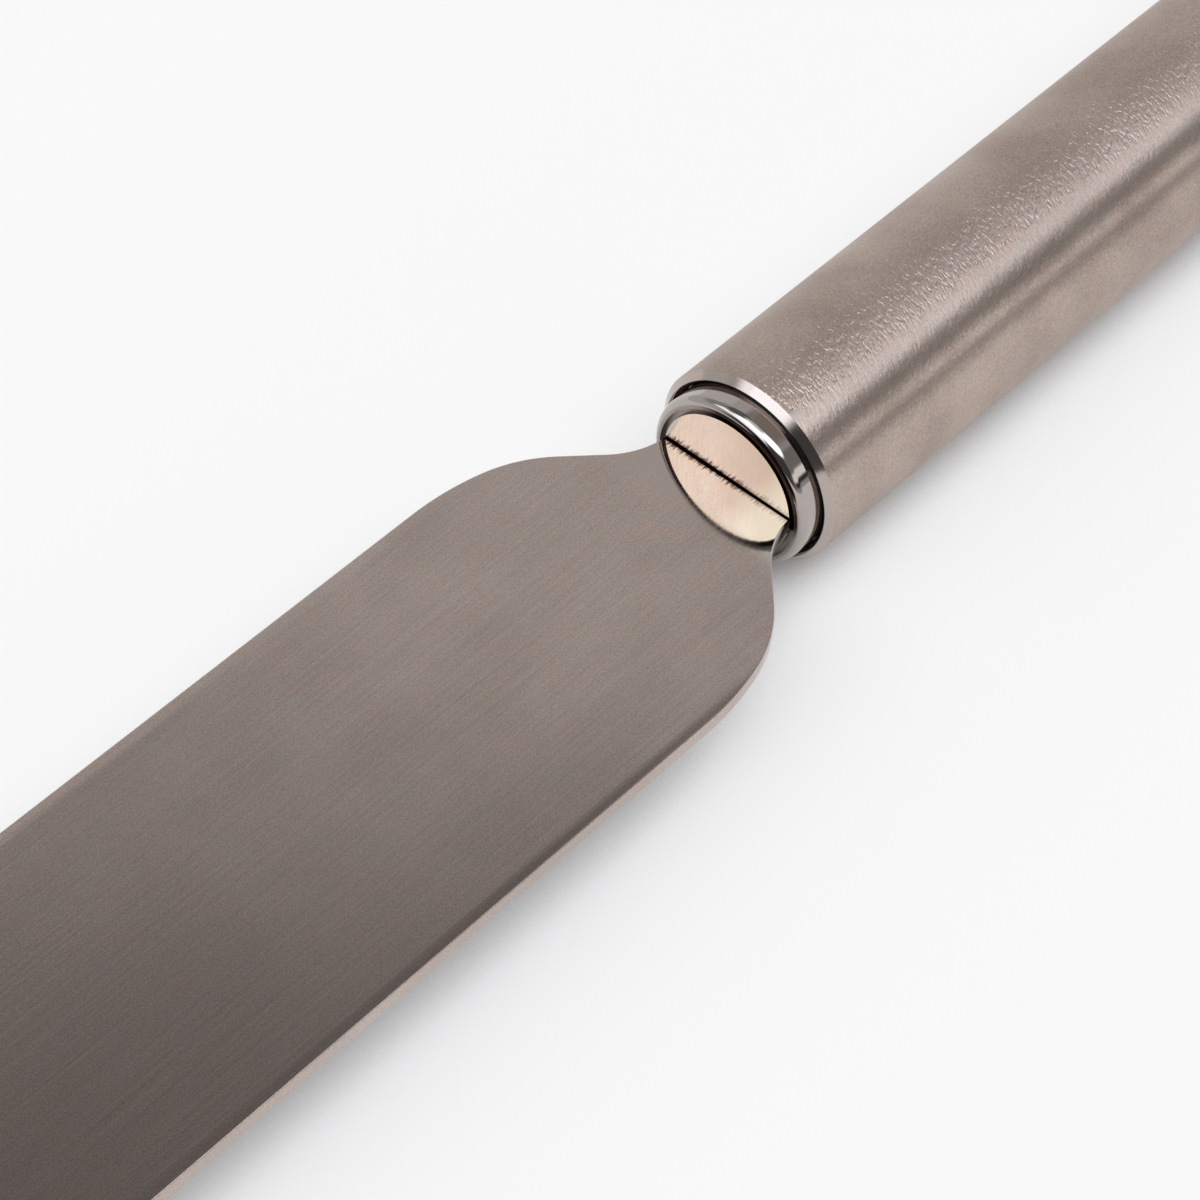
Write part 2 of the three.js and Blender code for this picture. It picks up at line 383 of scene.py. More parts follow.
both_radii = FLARE_RADIUS + SHOULDER_RADIUS
rise = (BLADE_WIDTH - NECK_WIDTH) / 2
ease_rise = EASE_RADIUS * (1 - math.cos(EASE_ANGLE))
curve_rise = rise - ease_rise - FLARE_RADIUS - SHOULDER_RADIUS * math.cos(EASE_ANGLE)
flank_angle = math.atan2(both_radii, FLANK_LENGTH) + math.asin(curve_rise / math.hypot(both_radii, FLANK_LENGTH))

pen = Pen("ground_blade", (blade_low.x, 0, blade_low.z), (1, 0, 0), (0, 1, 0), FINE_ARC_STEP)
pen.turn(QUARTER)
pen.forward(TANG_WIDTH / 2 - TANG_CORNER_RADIUS)
pen.arc(TANG_CORNER_RADIUS, -QUARTER)
pen.forward(neck_seat_x - pen.place.x)
pen.move_to(0, (NECK_WIDTH - TANG_WIDTH) / 2)
pen.move_to(FACE_X - FLARE_INSET - neck_seat_x, 0)
pen.arc(FLARE_RADIUS, flank_angle)
pen.forward(FLANK_LENGTH)
pen.arc(SHOULDER_RADIUS, EASE_ANGLE - flank_angle)
pen.arc(EASE_RADIUS, -EASE_ANGLE)
pen.forward(blade_high.x - BLADE_WIDTH / 2 - pen.place.x)
pen.arc(BLADE_WIDTH / 2, -QUARTER)
bpy.ops.object.mode_set(mode="OBJECT")
blade = pen.piece
print(f"flank angle {math.degrees(flank_angle):.1f} degrees, pen ends at {[round(p, 5) for p in pen.place]}")

# %% [markdown]
# The mirrored outline is filled and extruded to the sheet's thickness. The outer half is ground a
# little thinner towards the tip on both faces: two slanted bisect planes take that off.

# %% Mirror, thicken and grind the blade
TIP_THICKNESS = 0.9 * MM
GRIND_START = 90 * MM
grind_x = FACE_X + GRIND_START
grind_drop = (BLADE_THICKNESS - TIP_THICKNESS) / 2
grind_length = blade_high.x - grind_x

mirror = blade.modifiers.new("other_side", "MIRROR")
mirror.use_axis = (False, True, False)
mirror.merge_threshold = MERGE_DISTANCE
bpy.ops.object.modifier_apply(modifier=mirror.name)

bpy.ops.object.mode_set(mode="EDIT")
bpy.ops.mesh.select_all(action="SELECT")
bpy.ops.mesh.remove_doubles(threshold=MERGE_DISTANCE)
bpy.ops.mesh.edge_face_add()
bpy.ops.mesh.extrude_region_move(TRANSFORM_OT_translate={"value": (0, 0, BLADE_THICKNESS)})
bpy.ops.mesh.select_all(action="SELECT")
bpy.ops.mesh.normals_make_consistent(inside=False)
for face_z, outwards in ((blade_high.z, 1), (blade_low.z, -1)):
    bpy.ops.mesh.select_all(action="SELECT")
    bpy.ops.mesh.bisect(
        plane_co=(grind_x, 0, face_z),
        plane_no=(grind_drop, 0, outwards * grind_length),
        use_fill=True,
        clear_outer=True,
        threshold=MERGE_DISTANCE / 10,
    )
bpy.ops.mesh.select_all(action="SELECT")
bpy.ops.mesh.normals_make_consistent(inside=False)
bpy.ops.object.mode_set(mode="OBJECT")
print(f"blade: {len(blade.data.polygons)} faces before its edges are broken")

# %% [markdown]
# The edges of the two faces are broken with a small round, which is what catches light along the
# sides, and the few upright edges stay sharp. Smooth shading would bend the light on the flat faces
# towards those rounds, so the normals are weighted by face area.

# %% Break the blade's edges and drill the tang
EDGE_ROUND = 0.12 * MM
EDGE_ROUND_SEGMENTS = 4
BROKEN_EDGE_ANGLE = math.radians(60)
UPRIGHT_EDGE = TIP_THICKNESS / 2
bpy.ops.object.mode_set(mode="EDIT")
bpy.ops.mesh.select_mode(type="EDGE")
bpy.ops.mesh.select_all(action="DESELECT")
bpy.ops.mesh.edges_select_sharp(sharpness=BROKEN_EDGE_ANGLE)
bpy.ops.object.mode_set(mode="OBJECT")
for edge in blade.data.edges:
    first, second = (blade.data.vertices[i].co for i in edge.vertices)
    if abs(first.z - second.z) > UPRIGHT_EDGE:
        edge.select = False
bpy.ops.object.mode_set(mode="EDIT")
bpy.ops.mesh.bevel(offset=EDGE_ROUND, segments=EDGE_ROUND_SEGMENTS, clamp_overlap=False)
bpy.ops.mesh.select_all(action="SELECT")
bpy.ops.mesh.remove_doubles(threshold=MERGE_DISTANCE)
bpy.ops.object.mode_set(mode="OBJECT")
for pin_x in pin_places:
    drill_for_pin(blade, pin_x)
finish_mesh(blade)
flat_faces = blade.modifiers.new("flat_faces_stay_flat", "WEIGHTED_NORMAL")
flat_faces.keep_sharp = True
bpy.ops.object.modifier_apply(modifier=flat_faces.name)

# %% [markdown]
# ## Finishes
#
# All the metal is one steel, finished in different ways. Two effects recur, so each is a node group:
# the fine lines that an abrasive leaves, and the soft uneven marks of handling. A group hands out
# values that change over the surface, and each finish decides what they do to colour, roughness and
# the surface's normal. The helpers take either a plain value or another node's output for a socket,
# so a node and its links read as one line.

# %% Helpers for building node trees
def add_node(tree, kind, title, values=(), **settings):
    """A node with a title and its own settings, and values or links for inputs by name or number."""
    node = tree.nodes.new(kind)
    node.label = title
    for name, setting in settings.items():
        setattr(node, name, setting)
    for socket, value in dict(values).items():
        if isinstance(value, bpy.types.NodeSocket):
            tree.links.new(value, node.inputs[socket])
        else:
            node.inputs[socket].default_value = value
    return node


def add_math(tree, operation, title, *values):
    """What a Math node makes of its values."""
    node = add_node(tree, "ShaderNodeMath", title, dict(enumerate(values)), operation=operation)
    return node.outputs["Value"]


def add_mix(tree, title, factor, first, second, kind="RGBA", blend="MIX"):
    """A mix of two colours, or of two numbers where kind is FLOAT."""
    values = {"Factor": factor, "A": first, "B": second}
    node = add_node(tree, "ShaderNodeMix", title, values, data_type=kind, blend_type=blend)
    return node.outputs["Result"]


def add_range(tree, title, source, low, high, to_low, to_high, smooth=False):
    """What a Map Range node makes of source, from low..high to to_low..to_high, clamped."""
    kind = "SMOOTHSTEP" if smooth else "LINEAR"
    values = {"Value": source, "From Min": low, "From Max": high, "To Min": to_low, "To Max": to_high}
    node = add_node(tree, "ShaderNodeMapRange", title, values, interpolation_type=kind)
    return node.outputs["Result"]


def add_noise(tree, title, place, scale, detail, roughness=0.5):
    """Noise at a place, with scale grains to a unit and so many finer layers of detail."""
    values = {"Vector": place, "Scale": scale, "Detail": detail, "Roughness": roughness}
    return add_node(tree, "ShaderNodeTexNoise", title, values).outputs["Fac"]


def find_place(tree):
    """The place on the piece."""
    return add_node(tree, "ShaderNodeTexCoord", "place on the piece").outputs["Object"]


def split_place(tree):
    """The place on the piece, whole and in its X, Y and Z."""
    place = find_place(tree)
    return place, add_node(tree, "ShaderNodeSeparateXYZ", "place in parts", {"Vector": place}).outputs


def new_finish(name):
    """A new material, its node tree and its shader."""
    material = bpy.data.materials.new(name)
    material.use_nodes = True
    return material, material.node_tree, material.node_tree.nodes["Principled BSDF"]


def new_group(name, inputs, outputs):
    """An empty shader node group with those sockets, given as (name, socket type, default)."""
    group = bpy.data.node_groups.new(name, "ShaderNodeTree")
    for socket_name, kind, default in inputs:
        socket = group.interface.new_socket(socket_name, in_out="INPUT", socket_type=kind)
        socket.default_value = default
    for socket_name in outputs:
        group.interface.new_socket(socket_name, in_out="OUTPUT", socket_type="NodeSocketFloat")
    return group, group.nodes.new("NodeGroupInput"), group.nodes.new("NodeGroupOutput")


# %% [markdown]
# The abrasive lines are noise that is read in coordinates stretched along the lines, so a Mapping node
# in each finish sets which way they run and how long and fine they are. A second, coarser noise picks
# out the deeper scratches.

# %% Node group: abrasive lines
COARSER_SCALE = 0.33
SCRATCHES_FROM = 0.47
SCRATCHES_FULL = 0.62
abrasive_lines, lines_in, lines_out = new_group(
    "abrasive_lines", [("Vector", "NodeSocketVector", (0, 0, 0))], ["Lines", "Scratches"]
)
stretched = lines_in.outputs["Vector"]
fine = add_noise(abrasive_lines, "fine lines", stretched, scale=1, detail=2, roughness=0.6)
coarse = add_noise(abrasive_lines, "deeper lines", stretched, scale=COARSER_SCALE, detail=1)
deep = add_range(abrasive_lines, "only the deeper", coarse, SCRATCHES_FROM, SCRATCHES_FULL, 0, 1, smooth=True)
abrasive_lines.links.new(fine, lines_out.inputs["Lines"])
abrasive_lines.links.new(deep, lines_out.inputs["Scratches"])
print("node group", abrasive_lines.name)

# %% [markdown]
# Handling leaves broad, faint patches where the polish is a little duller. A low noise gives a mask
# for them, a finer one a mask for tarnish, which shifts the hue, and a very fine one the grain of the
# surface.

# %% Node group: handling marks
TARNISH_FINER_BY = 7
GRAINS_PER_METRE = 7000
handling_marks, marks_in, marks_out = new_group(
    "handling_marks",
    [("Vector", "NodeSocketVector", (0, 0, 0)), ("Patches per metre", "NodeSocketFloat", 100)],
    ["Marks", "Tarnish", "Grain"],
)
handled_place = marks_in.outputs["Vector"]
per_metre = marks_in.outputs["Patches per metre"]
finer = add_math(handling_marks, "MULTIPLY", "finer than the patches", per_metre, TARNISH_FINER_BY)
patches = add_noise(handling_marks, "patches", handled_place, per_metre, detail=4, roughness=0.55)
tarnish = add_noise(handling_marks, "tarnish", handled_place, finer, detail=3, roughness=0.6)
grain = add_noise(handling_marks, "grain", handled_place, GRAINS_PER_METRE, detail=1)
for noise, output, low, high in (
    (patches, "Marks", 0.3, 0.7),
    (tarnish, "Tarnish", 0.3, 0.7),
    (grain, "Grain", 0.25, 0.75),
):
    mask = add_range(handling_marks, f"{output} mask", noise, low, high, 0, 1, smooth=True)
    handling_marks.links.new(mask, marks_out.inputs[output])
print("node group", handling_marks.name)

# %% [markdown]
# One function builds any of the steels: the lines go to bump, roughness and colour, the handling marks
# to colour and roughness, and the tarnish and the grain to colour. What differs between the blade, the
# tube and the polished parts is the direction and size of the lines, and how rough and how dark the
# steel is.

# %% A steel finish
WARM_TARNISH = (1.02, 0.993, 0.98, 1)
COOL_TARNISH = (0.98, 1.007, 1.02, 1)
TONED_LINES = (0.35, 0.65)
ROUGH_LINES = (0.3, 0.7)
PATCH_SHARE = 0.3
HANDLED_ROUGHNESS = (0.92, 1.08)


def steel(name, line_size, colours, roughness, line_height, marks_per_metre=120, line_turn=0, grain_share=0.5):
    """A steel whose lines are line_size metres along X, Y and Z, with (clean, marked) colours."""
    material, tree, shader = new_finish(name)
    shader.inputs["Metallic"].default_value = 1
    place = find_place(tree)
    along_lines = {"Vector": place, "Scale": line_size, "Rotation": (0, 0, line_turn)}
    stretch = add_node(tree, "ShaderNodeMapping", "stretch along the lines", along_lines, vector_type="TEXTURE")
    lines_at = {"Vector": stretch.outputs["Vector"]}
    lines = add_node(tree, "ShaderNodeGroup", "abrasive lines", lines_at, node_tree=abrasive_lines).outputs
    marked_at = {"Vector": place, "Patches per metre": marks_per_metre}
    handled = add_node(tree, "ShaderNodeGroup", "handling marks", marked_at, node_tree=handling_marks).outputs

    clean, marked = ((*colour, 1) for colour in colours)
    line_tone = add_range(tree, "tone of the lines", lines["Lines"], *TONED_LINES, 0, 1)
    grained = add_mix(tree, "lines with grain", grain_share, line_tone, handled["Grain"], "FLOAT")
    toned = add_mix(tree, "grain with patches", PATCH_SHARE, grained, handled["Marks"], "FLOAT")
    tint = add_mix(tree, "clean to marked", toned, clean, marked)
    hue = add_mix(tree, "tarnish", handled["Tarnish"], WARM_TARNISH, COOL_TARNISH)
    tarnished = add_mix(tree, "steel with tarnish", 1, tint, hue, blend="MULTIPLY")

    line_rough = add_range(tree, "roughness of the lines", lines["Lines"], *ROUGH_LINES, *roughness)
    dulled = add_range(tree, "duller where handled", handled["Marks"], 0, 1, *HANDLED_ROUGHNESS)
    rough = add_math(tree, "MULTIPLY", "roughness", line_rough, dulled)

    depth = add_math(tree, "SUBTRACT", "lines less scratches", lines["Lines"], lines["Scratches"])
    relief = {"Height": depth, "Strength": 1, "Distance": line_height}
    bump = add_node(tree, "ShaderNodeBump", "depth of the lines", relief)
    tree.links.new(tarnished, shader.inputs["Base Color"])
    tree.links.new(rough, shader.inputs["Roughness"])
    tree.links.new(bump.outputs["Normal"], shader.inputs["Normal"])
    print(f"finish {name}")
    return material


# %% [markdown]
# The tube is brushed round its girth, so its lines are short across the axis and finer along it. Such
# lines smear a reflection lengthwise and keep it sharper the other way: that is anisotropy, with its
# tangent turned from round the axis to along it. The top of the tube is scuffed by use, so the strokes
# are deeper there. The bevels at the tube's ends are turned bright.

# %% Tube finishes
SCUFF_FROM = AXIS_HEIGHT + 0.88 * TUBE_RADIUS
SCUFF_FULL = AXIS_HEIGHT + 0.955 * TUBE_RADIUS
UNSCUFFED_DEPTH = 0.1
tube_steel = steel(
    "girth_brushed_steel",
    line_size=(0.1 * MM, 0.28 * MM, 0.28 * MM),
    colours=((0.63, 0.52, 0.458), (0.35, 0.277, 0.24)),
    roughness=(0.3, 0.38),
    line_height=0.055 * MM,
    line_turn=math.radians(-20),
)
tube_tree = tube_steel.node_tree
tube_shader = tube_tree.nodes["Principled BSDF"]
tube_shader.inputs["Specular Tint"].default_value = (0.82, 0.81, 0.8, 1)
tube_shader.inputs["Anisotropic"].default_value = 0.88
tube_shader.inputs["Anisotropic Rotation"].default_value = 0.25
girth = add_node(tube_tree, "ShaderNodeTangent", "round the axis", direction_type="RADIAL", axis="X")
tube_tree.links.new(girth.outputs["Tangent"], tube_shader.inputs["Tangent"])

tube_z = split_place(tube_tree)[1]["Z"]
scuffed = add_range(tube_tree, "scuffed on top", tube_z, SCUFF_FROM, SCUFF_FULL, UNSCUFFED_DEPTH, 1, smooth=True)
tube_bump = tube_shader.inputs["Normal"].links[0].from_node
even_depth = tube_bump.inputs["Height"].links[0].from_socket
scuff_depth = add_math(tube_tree, "MULTIPLY", "deeper where scuffed", even_depth, scuffed)
tube_tree.links.new(scuff_depth, tube_bump.inputs["Height"])

bright_bevel = steel(
    "bright_turned_steel",
    line_size=(0.05 * MM, 2 * MM, 2 * MM),
    colours=((0.5, 0.43, 0.39), (0.42, 0.36, 0.33)),
    roughness=(0.1, 0.16),
    line_height=0.0005 * MM,
)

# %% [markdown]
# The collar's rim is polished and its end face is left satin with a warm tone, with lines square to
# the slot. The rear cap's face is a plain copy of that finish, taken before the collar's gets its
# painted shade and dirt. The slot's walls are painted dark as dirt and shade, the groove round the face
# is painted dark as shade, and the two differ only in how dark. The blade is fine-ground lengthwise.
# The pins are plain ground and stay hidden.

# %% Collar, blade and pin finishes
DARK_RECESS_SURFACE = {
    "line_size": (0.3 * MM, 0.3 * MM, 0.3 * MM),
    "roughness": (0.35, 0.5),
    "line_height": 0.004 * MM,
    "marks_per_metre": 900,
}
polished_rim = steel(
    "polished_steel",
    line_size=(1.5 * MM, 1.5 * MM, 1.5 * MM),
    colours=((0.45, 0.405, 0.38), (0.42, 0.375, 0.35)),
    roughness=(0.05, 0.09),
    line_height=0.0003 * MM,
)
satin_face = steel(
    "satin_warm_steel",
    line_size=(1 * MM, 0.12 * MM, 3 * MM),
    colours=((0.83, 0.745, 0.62), (0.715, 0.63, 0.52)),
    roughness=(0.12, 0.18),
    line_height=0.001 * MM,
    marks_per_metre=400,
)
rear_face = satin_face.copy()
rear_face.name = "satin_rear_steel"
blade_steel = steel(
    "lengthwise_ground_steel",
    line_size=(12 * MM, 0.15 * MM, 12 * MM),
    colours=((0.59, 0.49, 0.445), (0.38, 0.31, 0.278)),
    roughness=(0.13, 0.19),
    line_height=0.0006 * MM,
    marks_per_metre=60,
    grain_share=0.8,
)
# The slot's walls are dark brown: dirt, and painted shade for their shadowed inside.
slot_dirt_and_shade_steel = steel("slot_dirt_and_painted_shade_steel", colours=((0.18, 0.11, 0.088), (0.08, 0.048, 0.038)), **DARK_RECESS_SURFACE)
# The groove round a face is near black: painted shade in the recess.
groove_shade_steel = steel("groove_painted_shade_steel", colours=((0.06, 0.035, 0.027), (0.03, 0.017, 0.013)), **DARK_RECESS_SURFACE)
pin_steel = steel(
    "plain_ground_steel",
    line_size=(0.2 * MM, 0.2 * MM, 3 * MM),
    colours=((0.55, 0.52, 0.49), (0.5, 0.47, 0.44)),
    roughness=(0.25, 0.35),
    line_height=0.001 * MM,
)

# %% [markdown]
# Some places differ from the rest of their piece. A mask made from the place on the piece tells where,
# and one helper lays a colour over a finish there.
#
# The blade's neck is polished where it leaves the slot, so its roughness falls towards the collar and
# its grain fades. Near the collar, on one side, a brighter colour is a painted reflection of the
# collar's face. Buffing has worn the blade's faces down a little along the two long sides, which a
# bump shows.

# %% Polish the neck, paint the face's reflection on it and wear the sides
POLISHED_TO = FACE_X + 2.5 * MM
GROUND_FROM = FACE_X + 7 * MM
POLISHED_SHARE = 0.3
EVEN_TONE = 0.5
WORN_WIDTH = 1.1 * MM
WORN_DEPTH = 0.06 * MM
FACE_REFLECTION_COLOUR = (0.6, 0.585, 0.535, 1)
FACE_REFLECTION_TO = FACE_X + 3.5 * MM
NO_FACE_REFLECTION_FROM = FACE_X + 5 * MM
FACE_REFLECTION_ACROSS = (1.2 * MM, 5.2 * MM)
side_y = BLADE_WIDTH / 2


def lay_colour(tree, title, mask, colour):
    """Lays a colour over a finish where the mask is open."""
    base = tree.nodes["Principled BSDF"].inputs["Base Color"]
    over = add_mix(tree, title, mask, base.links[0].from_socket, colour)
    tree.links.new(over, base)


blade_tree = blade_steel.node_tree
blade_shader = blade_tree.nodes["Principled BSDF"]
blade_place, blade_parts = split_place(blade_tree)
towards_ground = (POLISHED_TO, GROUND_FROM, POLISHED_SHARE, 1)
neck = add_range(blade_tree, "smoother at the neck", blade_parts["X"], *towards_ground, smooth=True)
ground_rough = blade_shader.inputs["Roughness"].links[0].from_socket
neck_rough = add_math(blade_tree, "MULTIPLY", "roughness with the neck", ground_rough, neck)
blade_tree.links.new(neck_rough, blade_shader.inputs["Roughness"])
tarnished_blade = blade_shader.inputs["Base Color"].links[0].from_node
blade_tone = tarnished_blade.inputs["A"].links[0].from_node.inputs["Factor"]
ground_tone = blade_tone.links[0].from_socket
blade_tree.links.new(add_mix(blade_tree, "even at the neck", neck, EVEN_TONE, ground_tone, "FLOAT"), blade_tone)

off_middle = add_math(blade_tree, "ABSOLUTE", "off the middle", blade_parts["Y"])
near_side = add_range(blade_tree, "near a side", off_middle, side_y - WORN_WIDTH, side_y, 0, 1)
worn = {"Height": add_math(blade_tree, "POWER", "steeper outwards", near_side, 2), "Distance": WORN_DEPTH}
worn_bump = add_node(blade_tree, "ShaderNodeBump", "worn sides", worn, invert=True)
lines_bump = blade_shader.inputs["Normal"].links[0].from_node
blade_tree.links.new(worn_bump.outputs["Normal"], lines_bump.inputs["Normal"])

# A painted reflection of the collar's face: a brighter colour near the collar on one side.
face_reflection_near_collar = add_range(blade_tree, "near the collar", blade_parts["X"], FACE_REFLECTION_TO, NO_FACE_REFLECTION_FROM, 1, 0)
face_reflection_on_one_side = add_range(blade_tree, "on one side", blade_parts["Y"], *FACE_REFLECTION_ACROSS, 0, 1, smooth=True)
painted_face_reflection = add_math(blade_tree, "MULTIPLY", "painted_face_reflection", face_reflection_near_collar, face_reflection_on_one_side)
lay_colour(blade_tree, "painted_face_reflection", painted_face_reflection, FACE_REFLECTION_COLOUR)
print("neck polished, face reflection painted, sides worn")

# %% [markdown]
# The groove round the face is painted dark as shade, except on one side and below, and on the other
# side a painted dark reflection lies on the rim's inner edge. The face's tone deepens to one side, and
# painted shade darkens it below the blade.

# %% Paint shade in the groove, a dark reflection on the rim's edge and shade on the lower face
UNSHADED_GROOVE_COLOUR = (0.42, 0.37, 0.34, 1)
UNSHADED_GROOVE_SIDE = (-3.8 * MM, -1.2 * MM)
UNSHADED_GROOVE_BELOW = (AXIS_HEIGHT - 1.5 * MM, AXIS_HEIGHT + 0.5 * MM)
RIM_DARK_REFLECTION_COLOUR = (0.03, 0.018, 0.014, 1)
RIM_EDGE = (FACE_X - 0.19 * MM, FACE_X - 0.13 * MM)
RIM_DARK_REFLECTION_SIDE = (1 * MM, 2.5 * MM)
RIM_DARK_REFLECTION_TOP = (AXIS_HEIGHT + 2.5 * MM, AXIS_HEIGHT + 4 * MM)
DEEP_TONE = (0.62, 0.515, 0.41, 1)
DEEPENS_ACROSS = (-2 * MM, 4 * MM)
BELOW_BLADE_SHADE_COLOUR = (0.4, 0.35, 0.31, 1)
SHADE_BELOW_BLADE = (AXIS_HEIGHT - slot_height, AXIS_HEIGHT - slot_height / 2)

groove_shade_tree = groove_shade_steel.node_tree
groove_parts = split_place(groove_shade_tree)[1]
# The groove's painted shade is lifted on one side and below.
for title, part, edge in (("wiped on one side", "Y", UNSHADED_GROOVE_SIDE), ("wiped below", "Z", UNSHADED_GROOVE_BELOW)):
    unshaded = add_range(groove_shade_tree, title, groove_parts[part], *edge, 1, 0, smooth=True)
    lay_colour(groove_shade_tree, title, unshaded, UNSHADED_GROOVE_COLOUR)

rim_tree = polished_rim.node_tree
rim_parts = split_place(rim_tree)[1]
# A painted dark reflection on the rim's inner edge, on one side and towards the top.
rim_dark_reflection = 1
for title, part, edge in (
    ("inner edge of the rim", "X", RIM_EDGE),
    ("side of the rim's painted reflection", "Y", RIM_DARK_REFLECTION_SIDE),
    ("upper part of the rim", "Z", RIM_DARK_REFLECTION_TOP),
):
    mask = add_range(rim_tree, title, rim_parts[part], *edge, 0, 1, smooth=True)
    rim_dark_reflection = add_math(rim_tree, "MULTIPLY", title, rim_dark_reflection, mask)
lay_colour(rim_tree, "painted dark reflection on the rim", rim_dark_reflection, RIM_DARK_REFLECTION_COLOUR)

face_tree = satin_face.node_tree
face_place, face_parts = split_place(face_tree)
deeper = add_range(face_tree, "deeper to one side", face_parts["Y"], *DEEPENS_ACROSS, 0, 1)
lay_colour(face_tree, "deeper tone", deeper, DEEP_TONE)
# Painted shade on the face below the blade.
dull = add_range(face_tree, "below the blade", face_parts["Z"], *SHADE_BELOW_BLADE, 1, 0)
lay_colour(face_tree, "painted shade below the blade", dull, BELOW_BLADE_SHADE_COLOUR)
print("groove shade, dark rim reflection and lower face shade painted")

# %% [markdown]
# Dirt and painted contact shade lie along the slot, a little onto the face and further onto the blade,
# more on one side than the other: a brown stain with an edge that noise makes streaky.

# %% Paint dirt and contact shade along the slot
DIRT_AND_SHADE_COLOUR = (0.075, 0.04, 0.03, 1)
DIRT_AND_SHADE_ON_FACE = 0.12 * MM
DIRT_AND_SHADE_ON_BLADE = 0.62 * MM
STREAKS = (0.9 * MM, 0.16 * MM, 0.9 * MM)
STREAK_NOISE = (0.3, 0.7)
FULL_STAIN_SHARE = 0.3
FADES_OVER = 5 * MM
FAINTEST = 0.35


def paint_dirt_and_contact_shade(tree, place, across, distance, reach):
    """Paints a brown stain of dirt and contact shade over a reach from where distance is 0, with a streaky edge,
    less towards +Y.
    """
    stretch = add_node(
        tree, "ShaderNodeMapping", "streaks", {"Vector": place, "Scale": STREAKS}, vector_type="TEXTURE"
    )
    uneven = add_noise(tree, "uneven edge", stretch.outputs["Vector"], scale=1, detail=3)
    creep = add_range(tree, "how far it creeps", uneven, *STREAK_NOISE, -reach / 2, reach / 2)
    edge = add_math(tree, "ADD", "place against the uneven edge", distance, creep)
    stain = add_range(tree, "stain", edge, FULL_STAIN_SHARE * reach, reach, 1, 0, smooth=True)
    fades = add_range(tree, "less on one side", across, 0, FADES_OVER, 1, FAINTEST)
    # The brown laid here is dirt and painted contact shade together.
    lay_colour(tree, "dirt", add_math(tree, "MULTIPLY", "stain that shows", stain, fades), DIRT_AND_SHADE_COLOUR)


from_axis = add_math(face_tree, "SUBTRACT", "above the axis", face_parts["Z"], AXIS_HEIGHT)
from_middle = add_math(face_tree, "ABSOLUTE", "from the slot's middle", from_axis)
from_slot = add_math(face_tree, "SUBTRACT", "from the slot", from_middle, slot_height / 2)
paint_dirt_and_contact_shade(face_tree, face_place, face_parts["Y"], from_slot, DIRT_AND_SHADE_ON_FACE)

from_collar = add_math(blade_tree, "SUBTRACT", "from the collar", blade_parts["X"], FACE_X)
paint_dirt_and_contact_shade(blade_tree, blade_place, blade_parts["Y"], from_collar, DIRT_AND_SHADE_ON_BLADE)
print("dirt and contact shade painted along the slot")

# %% [markdown]
# The rings are soft black rubber. A fine grain breaks up what little they reflect, and a trace of
# grey dust lies in the handling patches.

# %% Rubber finish
BLACK = (0.005, 0.0045, 0.0045, 1)
DUSTY = (0.02, 0.018, 0.017, 1)
RUBBER_ROUGHNESS = (0.45, 0.75)
RUBBER_PATCHES_PER_METRE = 900
RUBBER_GRAINS_PER_METRE = 6000
RUBBER_GRAIN_DEPTH = 0.02 * MM
ring_rubber, rubber_tree, rubber_shader = new_finish("black_rubber")
rubber_shader.inputs["Specular IOR Level"].default_value = 0.25
rubber_place = find_place(rubber_tree)
dusty_at = {"Vector": rubber_place, "Patches per metre": RUBBER_PATCHES_PER_METRE}
dust = add_node(rubber_tree, "ShaderNodeGroup", "dust", dusty_at, node_tree=handling_marks).outputs["Marks"]
rubber_grain = add_noise(rubber_tree, "grain", rubber_place, RUBBER_GRAINS_PER_METRE, detail=2)
relief = {"Height": rubber_grain, "Strength": 1, "Distance": RUBBER_GRAIN_DEPTH}
rubber_bump = add_node(rubber_tree, "ShaderNodeBump", "grain depth", relief)
for socket, source in (
    ("Base Color", add_mix(rubber_tree, "black to dusty", dust, BLACK, DUSTY)),
    ("Roughness", add_range(rubber_tree, "dust is dull", dust, 0, 1, *RUBBER_ROUGHNESS)),
    ("Normal", rubber_bump.outputs["Normal"]),
):
    rubber_tree.links.new(source, rubber_shader.inputs[socket])
print("finish", ring_rubber.name)

# %% [markdown]
# ## Finishes onto pieces
#
# A piece with more than one finish gets a material slot for each, and the faces for the later ones are
# picked by where they are: the tube's bevels slope, the plugs' end faces lie in one plane each, and the
# slot and the groove round a face are recesses painted dark, the slot as dirt and shade and the groove
# as shade that takes in the first of the rim. Each new piece then rides on the part's one body and hides
# the CAD node it stands for. The two pins never show, so their CAD solids stay and only get their finish.

# %% Assign the finishes
TOUCH = 0.005 * MM
SHADED_RIM_ANGLE = math.radians(22)
END_SLOPE = 0.2


def pick_faces(piece, wanted):
    """In edit mode, selects the faces for which wanted(centre, normal) is true."""
    bpy.ops.mesh.select_mode(type="FACE")
    bpy.ops.mesh.select_all(action="DESELECT")
    bpy.ops.object.mode_set(mode="OBJECT")
    for face in piece.data.polygons:
        face.select = wanted(face.center, face.normal)
    bpy.ops.object.mode_set(mode="EDIT")


